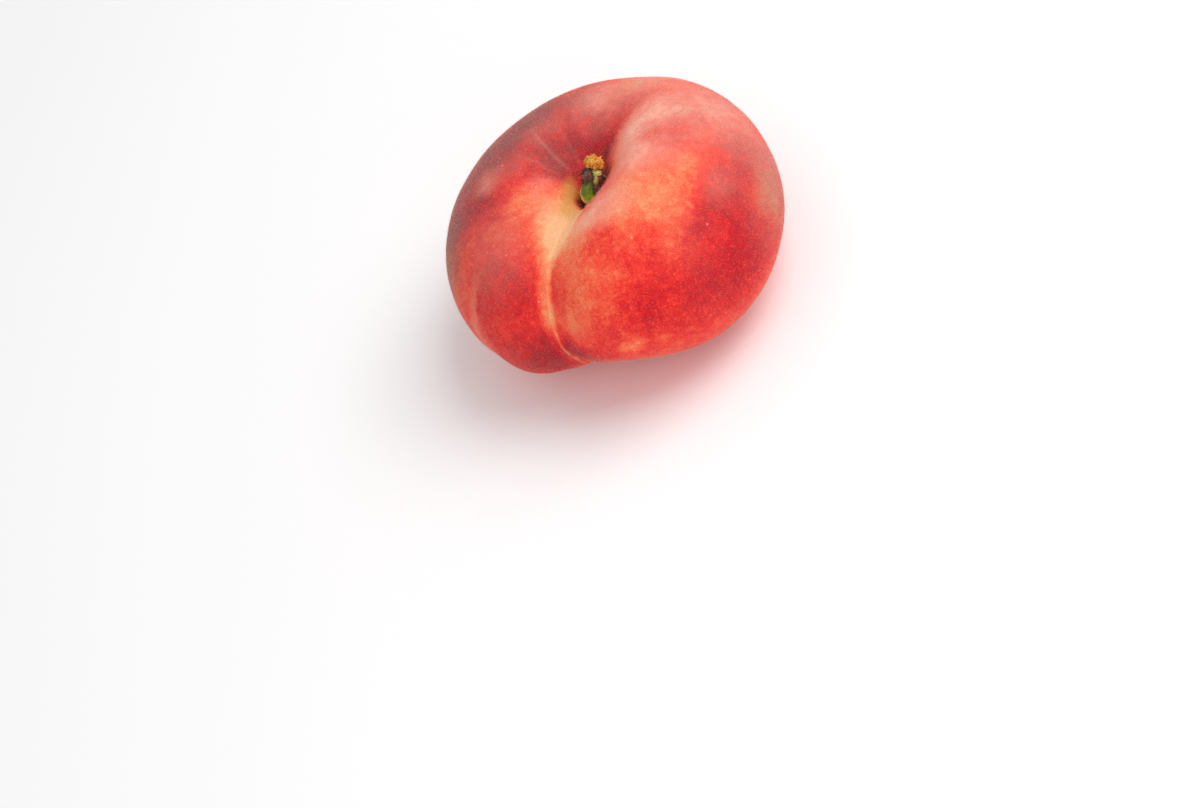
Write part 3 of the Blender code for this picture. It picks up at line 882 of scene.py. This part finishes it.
STUB_RINGS = [(0.40, 0.40), (0.50, 0.50), (0.60, 0.56), (0.64, 0.60), (1.02, 0.80), (0.95, 0.70)]


def view_sides(points, middle):
    """How far points lie left of, above and in front of a place as the camera sees it, in millimetres."""
    _, right, up, back = camera_frame()
    away = (points - np.array(HEART)) / MM - np.array(middle)
    return -away @ np.array(right), away @ np.array(up), away @ np.array(back)


def stem_paint():
    """Glossy green with a pale corky margin, olive towards the neck, with fine fibres and dark pores, a
    painted highlight, and painted shade on its right side as the camera sees it and at its foot in the pit.
    """
    _, right, up, back = camera_frame()
    paint = Paint("green stem")
    place = paint.place_mm()
    away = paint.vector("SUBTRACT", place, tuple(HEART / MM + Vector(BULB_MIDDLE)))
    left = paint.times(paint.vector("DOT_PRODUCT", away, tuple(right)), -1.0)
    rise = paint.vector("DOT_PRODUCT", away, tuple(up))
    near = paint.vector("DOT_PRODUCT", away, tuple(back))
    x, y, z = paint.split(away)
    drawn = paint.join(x, y, paint.times(z, 0.18))
    fibres = paint.noise(drawn, 0.32, detail=4.0, rough=0.6, bend=0.4)
    blotch = paint.noise(away, 1.4, detail=3.0, rough=0.6)
    green = paint.mix(paint.rise(blotch, 0.32, 0.68), tint(84, 148, 8), tint(150, 210, 42))
    green = paint.mix(paint.rise(fibres, 0.35, 0.75, 0.0, 0.45), green, tint(160, 208, 72))
    # Painted highlight: a pale green spot where the window's reflection falls on the bulb, as the camera sees
    # it.
    painted_highlight = paint.vector("DISTANCE", paint.join(left, paint.times(rise, 0.45), 0.0), (0.45, 0.26, 0.0))
    green = paint.mix(paint.rise(painted_highlight, 0.75, 0.10, 0.0, 0.60), green, tint(186, 222, 120))
    # Painted shade: the side of the stem towards the camera's right darkened to olive.
    green = paint.mix(paint.rise(left, -0.4, -2.0, 0.0, 0.75), green, tint(62, 72, 4))
    green = paint.mix(paint.rise(z, 1.0, 2.2, 0.0, 0.85), green, tint(88, 104, 22))
    green = paint.mix(paint.rise(z, 2.8, 4.2, 0.0, 0.8), green, tint(96, 66, 34))
    # Painted shade: the foot of the stem, deep in the pit, darkened to brown.
    green = paint.mix(paint.rise(z, -1.5, -2.4, 0.0, 0.92), green, tint(66, 36, 16))
    reach = paint.math("SQRT", paint.plus(paint.times(left, left), paint.times(rise, rise)))
    ragged = paint.noise(away, 0.9, detail=3.0)
    uneven = paint.math("MULTIPLY_ADD", ragged, 2.2, paint.minus(near, 1.1))
    margin = paint.times(
        paint.rise(near, 1.55, 1.20), paint.rise(uneven, -2.2, 0.0),
        paint.rise(paint.minus(left, paint.times(rise, 0.55)), -0.1, 0.6),
        paint.rise(reach, 0.9, 1.4), paint.rise(fibres, 0.25, 0.55, 0.7, 1.0), paint.rise(z, -2.6, -1.2),
    )
    green = paint.mix(margin, green, tint(236, 226, 166))
    pores = paint.rise(paint.cells(away, 0.55), 0.16, 0.06)
    green = paint.mix(paint.times(pores, 0.55), green, tint(70, 58, 20))
    paint.colour(green)
    gloss = paint.rise(fibres, 0.2, 0.8, 0.24, 0.42)
    paint.rough(paint.math("MAXIMUM", gloss, paint.times(margin, 0.6)))
    height = paint.math("MULTIPLY_ADD", paint.noise(away, 0.12, detail=3.0), 0.4, fibres)
    paint.relief(height, 0.00006)
    paint.set(
        Subsurface_Weight=0.10,
        Subsurface_Scale=0.001,
        Subsurface_Radius=(0.6, 1.0, 0.25),
        Specular_IOR_Level=0.35,
        Coat_Weight=0.08,
        Coat_Roughness=0.12,
    )
    return paint.material


def make_stem():
    stem = straight_rod("stem_body", STEM_RINGS, 16, 3)
    points = points_of(stem)
    angle = np.arctan2(points[:, 1], points[:, 0])
    height = points[:, 2]
    grooves = 0.05 * np.sin(9.0 * angle + 1.5 * np.sin(height * 1.3)) + 0.03 * np.sin(17.0 * angle + height)
    grooves += 0.10 * lumps(points, 0.8, 21) + 0.05 * lumps(points, 0.35, 22)
    reach = np.hypot(points[:, 0], points[:, 1])[:, None] + 0.001
    points[:, :2] += points[:, :2] / reach * grooves[:, None]
    move_points(stem, points)
    lay_along(stem, STEM_PATH)
    points, outward = points_of(stem), outward_of(stem)
    left, rise, near = view_sides(points, BULB_MIDDLE)
    lip = ease(-near, -1.7, -1.3) * ease(near, -1.6, -0.6) - 0.5 * bump(near - 1.8, 0.22)
    lip *= ease(left - 0.55 * rise, -0.1, 0.6) * ease(np.hypot(left, rise), 0.9, 1.4)
    dimple = 0.16 * bump(np.hypot(left + 0.2, rise - 0.9), 0.5) * (near > 0.0)
    move_points(stem, points + outward * ((0.20 * lip - dimple) * MM)[:, None])

    stub = straight_rod("torn_shoot", STUB_RINGS, 14, 3)
    points = points_of(stub)
    height = points[:, 2]
    torn = ease(height, 3.3, 3.9)
    shelves = 0.24 * np.sin(height * 11.0 + 1.2 * lumps(points, 0.7, 23)) * torn
    shelves += 0.16 * lumps(points, 0.45, 24) * torn + 0.05 * lumps(points, 0.3, 25)
    reach = np.hypot(points[:, 0], points[:, 1])[:, None] + 0.001
    points[:, :2] += points[:, :2] / reach * shelves[:, None]
    points[:, 2] += 0.30 * lumps(points, 0.30, 26) * ease(height, 4.2, 5.0)
    move_points(stub, points)
    lay_along(stub, STUB_PATH)
    finish_piece(stem, stem_paint(), "stem")
    finish_piece(stub, shoot_paint(), "stem")


def shoot_paint():
    """Pale yellow-green broken flesh, darker in its furrows and down its stalk."""
    paint = Paint("torn shoot")
    place = paint.place_mm()
    z = paint.split(paint.vector("SUBTRACT", place, tuple(HEART / MM)))[2]
    grain = paint.noise(place, 0.45, detail=4.0, rough=0.65, bend=0.5)
    stalk = paint.mix(paint.rise(grain, 0.3, 0.7), tint(132, 150, 26), tint(168, 182, 52))
    flesh = paint.mix(paint.rise(grain, 0.36, 0.66), tint(176, 178, 58), tint(234, 228, 144))
    paint.colour(paint.mix(paint.rise(paint.plus(z, grain), 17.9, 18.6), stalk, flesh))
    paint.rough(paint.rise(grain, 0.3, 0.7, 0.75, 0.45))
    paint.relief(paint.noise(place, 0.15, detail=4.0, rough=0.7), 0.0001)
    paint.set(Subsurface_Weight=0.12, Subsurface_Scale=0.0008, Subsurface_Radius=(0.9, 1.0, 0.3))
    return paint.material


# ---- the dry bud scales

# Where on the stem's path the scales grow, and how far from its middle.
COLLAR_PLACE = 9.5
COLLAR_REACH = 1.25
# Each scale: its angle round the neck in degrees, length and width in millimetres, flare and curl in degrees.
NECK_SCALES = [
    (58, 2.1, 1.5, 30, 12), (86, 2.4, 1.7, 20, -16), (116, 2.6, 1.8, 14, 10), (148, 2.9, 1.8, 8, -8),
    (178, 2.8, 1.7, 8, 8), (196, 2.6, 1.2, 18, 14), (210, 3.2, 1.8, 12, -8), (230, 3.2, 1.5, 16, -4),
    (248, 3.0, 1.7, 14, -8), (266, 2.7, 1.4, 10, 6), (286, 2.1, 1.3, 8, -8), (308, 1.8, 1.1, -6, 4),
    (348, 2.3, 1.5, 56, -14), (8, 2.3, 1.6, 64, 12), (30, 1.8, 1.5, 65, -24), (100, 1.8, 1.1, 20, 12),
    (134, 2.0, 1.1, 8, -10), (205, 2.0, 0.9, 44, -16),
]
SCALE_SEED = 31
SCALE_WALL = 0.24
SCALE_WALL_AT_TIP = 0.12
# The lumpy ring that the scales grow from: its radius, its tube's, and how much taller than round it is.
COLLAR_RADIUS = 1.22
COLLAR_TUBE = 0.36
COLLAR_STRETCH = 1.5
# The bracts round the foot of the torn shoot: their place and reach on its path, and their rows.
SHOOT_PLACE = 2.1
SHOOT_REACH = 0.40
SHOOT_SCALES = [
    (215, 1.7, 1.0, 12, 8), (262, 1.9, 1.2, 8, -8), (310, 2.0, 1.3, 14, 12), (355, 1.9, 1.2, 34, -10),
    (45, 1.4, 1.1, 35, 2),
]


def flat_blade():
    """A flat grid for a dry scale: a unit wide, a unit long from its root, with a wall that closes it."""
    bpy.ops.object.select_all(action="DESELECT")
    bpy.ops.mesh.primitive_grid_add(x_subdivisions=8, y_subdivisions=10, size=1.0, location=(0.0, 0.5, 0.0))
    blade = bpy.context.active_object
    bpy.ops.object.transform_apply(location=True, rotation=True, scale=True)
    wall = blade.modifiers.new("wall", "SOLIDIFY")
    wall.thickness = 1.0
    wall.offset = 0.0
    bpy.ops.object.modifier_apply(modifier=wall.name)
    smooth_out(blade, 1)
    return blade


def scale_paint():
    """Dark plum-brown papery skin with pale grey ribs, partly painted highlight, and tan, worn edges."""
    paint = Paint("dry scales")
    place = paint.place_mm()
    x, y, z = paint.split(place)
    drawn = paint.join(x, y, paint.times(z, 0.25))
    ribs = paint.noise(drawn, 0.26, detail=4.0, rough=0.6, bend=0.6)
    blotch = paint.noise(place, 0.9, detail=3.0, rough=0.6)
    brown = paint.mix(paint.rise(blotch, 0.35, 0.65), tint(52, 26, 24), tint(104, 62, 50))
    # Partly painted highlight: pale grey laid on the raised ribs, where the dry scales catch the light.
    brown = paint.mix(paint.rise(ribs, 0.50, 0.72, 0.0, 0.70), brown, tint(148, 112, 104))
    worn = paint.noise(place, 0.7)
    brown = paint.mix(paint.rise(worn, 0.62, 0.72, 0.0, 0.55), brown, tint(168, 118, 62))
    paint.colour(brown)
    paint.rough(paint.rise(ribs, 0.3, 0.7, 0.78, 0.50))
    paint.relief(ribs, 0.00012)
    paint.set(Sheen_Weight=0.15, Sheen_Roughness=0.4, Sheen_Tint=(0.8, 0.7, 0.7, 1.0))
    return paint.material


def dry_scale(blade, root, heading, outward, size, draw):
    """A copy of the flat blade, hung from its root: pointed, cupped, curled, twisted a little and ragged."""
    length, width, flare, curl = size
    across = outward.cross(heading)
    twist = draw.uniform(-0.35, 0.35)
    shift = draw.uniform(0.0, 50.0)
    spots = []
    for u, t, w in points_of(blade):
        half = 0.5 * width * max(0.10, math.sin(math.pi * (0.30 + 0.70 * max(t, 0.2))) ** 0.8)
        ragged = noise.noise(Vector((u * 3.0 + shift, t * 5.0, 0.0)))
        bent = flare + curl * t * t
        step = length * t * (1.0 + 0.14 * noise.noise(Vector((u * 6.0, shift, 0.0))) * t)
        run = outward * math.sin(bent) - heading * math.cos(bent)
        face = outward * math.cos(bent) + heading * math.sin(bent)
        turned = across * math.cos(twist * t) + face * math.sin(twist * t)
        lift = 0.15 * (1.0 - (2.0 * u) ** 2) * width + 0.10 * ragged + 0.05 * math.sin(u * 19.0 + shift)
        thick = SCALE_WALL + (SCALE_WALL_AT_TIP - SCALE_WALL) * t
        sideways = turned * (2.0 * u * half * (1.0 + 0.16 * ragged))
        spots.append(root + run * step + sideways + face * (lift + w * thick))
    copy = add_object("dry_scale", blade.data.copy())
    move_points(copy, [HEART + spot * MM for spot in spots])
    return copy


def make_bud_scales():
    blade = flat_blade()
    draw = random.Random(SCALE_SEED)
    blades = []
    for path, place, reach, rows in (
        (STEM_PATH, COLLAR_PLACE, COLLAR_REACH, NECK_SCALES),
        (STUB_PATH, SHOOT_PLACE, SHOOT_REACH, SHOOT_SCALES),
    ):
        centre, heading = spot_on(path, place)
        side, round_side = square_to(heading)
        for number, (angle, length, width, flare, curl) in enumerate(rows):
            angle, flare, curl = (math.radians(value) for value in (angle, flare, curl))
            outward = side * math.cos(angle) + round_side * math.sin(angle)
            root = centre + outward * (reach + 0.12 * (number % 3)) + heading * draw.uniform(-0.1, 0.5)
            blades.append(dry_scale(blade, root, heading, outward, (length, width, flare, curl), draw))
    centre, heading = spot_on(STEM_PATH, COLLAR_PLACE)
    side, round_side = square_to(heading)
    bpy.data.objects.remove(blade, do_unlink=True)
    scales = merged("dry_scales", blades)

    bpy.ops.object.select_all(action="DESELECT")
    bpy.ops.mesh.primitive_torus_add(
        major_segments=48, minor_segments=12, major_radius=COLLAR_RADIUS, minor_radius=COLLAR_TUBE
    )
    collar = bpy.context.active_object
    collar.name = "scale_collar"
    ring = points_of(collar)
    ring *= (1.0 + 0.10 * lumps(ring, 0.5, 41) + 0.06 * lumps(ring, 0.22, 42))[:, None]
    ring[:, 2] *= COLLAR_STRETCH
    move_points(collar, [HEART + (centre + side * a + round_side * b + heading * c) * MM for a, b, c in ring])
    bpy.ops.object.shade_smooth()
    brown = scale_paint()
    face_outward(scales)
    finish_piece(scales, brown, "bud_scales")
    finish_piece(collar, brown, "bud_scales")


# ---- the torn wood

# The heel's length, the half width that its crumbs fill, and its core's half widths and depths.
HEEL_LENGTH = 2.7
HEEL_HALF_WIDTH = 2.15
HEEL_RINGS = [(1.1, 0.9), (1.75, 1.4), (2.1, 1.75), (2.15, 1.8), (1.8, 1.5), (1.0, 0.9)]
WOOD_SEED = 7
# Crumbs, the first of them big, and splinters, with their sizes in millimetres.
CRUMBS = 190
BIG_CRUMBS = 56
BIG_CRUMB_SIZE = (0.34, 0.66)
SMALL_CRUMB_SIZE = (0.10, 0.26)
SPLINTERS = 26
SPLINTER_LENGTH = (0.9, 1.5)
SPLINTER_FOOT = (0.06, 0.13)


def wood_paint():
    """Crumbly yellow-orange wood, browner in its hollows, with paler fresh crumbs."""
    paint = Paint("torn wood")
    place = paint.place_mm()
    grain = paint.noise(place, 0.5, detail=4.0, rough=0.7, bend=0.4)
    fine = paint.noise(place, 0.18, detail=4.0, rough=0.7)
    wood = paint.mix(paint.rise(grain, 0.34, 0.60), tint(186, 102, 14), tint(246, 172, 54))
    fresh = paint.noise(place, 0.7)
    wood = paint.mix(paint.rise(fresh, 0.52, 0.66, 0.0, 0.75), wood, tint(254, 204, 124))
    wood = paint.mix(paint.rise(fine, 0.54, 0.66, 0.0, 0.7), wood, tint(126, 68, 10))
    olive = paint.noise(place, 0.6, bend=1.0)
    wood = paint.mix(paint.rise(olive, 0.66, 0.74, 0.0, 0.8), wood, tint(112, 92, 20))
    paint.colour(wood)
    paint.rough(paint.rise(grain, 0.3, 0.7, 0.9, 0.7))
    paint.relief(paint.plus(fine, grain), 0.00012)
    paint.set(Subsurface_Weight=0.08, Subsurface_Scale=0.0006, Subsurface_Radius=(1.0, 0.6, 0.2))
    return paint.material


def make_torn_wood():
    end, heading = spot_on(STEM_PATH, len(STEM_PATH) - 1.0)
    side, round_side = square_to(heading)
    draw = random.Random(WOOD_SEED)
    core = straight_rod("torn_wood", HEEL_RINGS, 14, 3)
    points = points_of(core)
    swell = 0.28 * lumps(points, 0.7, 51) + 0.22 * lumps(points, 0.3, 52)
    points *= (1.0 + swell)[:, None]
    rise = HEEL_LENGTH / (len(HEEL_RINGS) - 1)

    def in_heel(a, b, c):
        return HEART + (end + heading * (c - 0.05) + side * a + round_side * b) * MM

    move_points(core, [in_heel(a, b, c * rise) for a, b, c in points])
    bpy.ops.object.select_all(action="DESELECT")
    bpy.ops.mesh.primitive_ico_sphere_add(subdivisions=2, radius=1.0, location=(0.0, 0.0, 0.0))
    crumb = bpy.context.active_object
    shape = points_of(crumb)
    grains = [core]
    for number in range(CRUMBS):
        size = draw.uniform(*(BIG_CRUMB_SIZE if number < BIG_CRUMBS else SMALL_CRUMB_SIZE))
        angle = draw.uniform(0.0, 2.0 * math.pi)
        share = draw.uniform(0.12, 1.0) ** 0.8
        flank = 1.0 if share < 0.84 else draw.uniform(0.1, 0.9)
        swollen = math.sin(math.pi * (0.22 + 0.62 * share))
        spread = HEEL_HALF_WIDTH * flank * swollen * draw.uniform(0.76, 0.98)
        middle = Vector((spread * math.cos(angle), 0.8 * spread * math.sin(angle), HEEL_LENGTH * share))
        turn = Quaternion([draw.gauss(0, 1) for _ in range(4)]).normalized()
        form = Vector((draw.uniform(0.80, 1.60), draw.uniform(0.5, 1.0), draw.uniform(0.40, 0.85))) * size
        rough = 1.0 + 0.80 * lumps(shape + number * 3.1, 0.6, 53)
        spots = [
            middle + turn @ Vector((a * form.x * r, b * form.y * r, c * form.z * r))
            for (a, b, c), r in zip(shape, rough)
        ]
        copy = add_object("crumb", crumb.data.copy())
        move_points(copy, [in_heel(*spot) for spot in spots])
        grains.append(copy)
    bpy.data.objects.remove(crumb, do_unlink=True)
    corners, faces = one_hair()
    for _ in range(SPLINTERS):
        angle = draw.uniform(0.0, 2.0 * math.pi)
        share = draw.uniform(0.0, 0.8)
        foot = Vector((1.2 * math.cos(angle), 1.0 * math.sin(angle), HEEL_LENGTH * share))
        lean = Vector((math.cos(angle), math.sin(angle), draw.uniform(-0.9, 1.6))).normalized()
        one, two = square_to(lean)
        length, wide = draw.uniform(*SPLINTER_LENGTH), draw.uniform(*SPLINTER_FOOT)
        splinter = bpy.data.meshes.new("splinter")
        spots = [
            in_heel(*(foot + one * (a * wide) + two * (b * wide) + lean * (c * length)))
            for a, b, c in corners
        ]
        splinter.from_pydata([tuple(spot) for spot in spots], [], faces)
        grains.append(add_object("splinter", splinter))
    wood = merged("torn_wood", grains)
    bpy.ops.object.shade_smooth()
    finish_piece(wood, wood_paint(), "twig_heel")


middle = (cad_box[0] + cad_box[1]) / 2.0
set_camera(middle)
set_studio(middle)
set_table()
skin = make_skin()
make_down(skin)
make_stem()
make_bud_scales()
make_torn_wood()
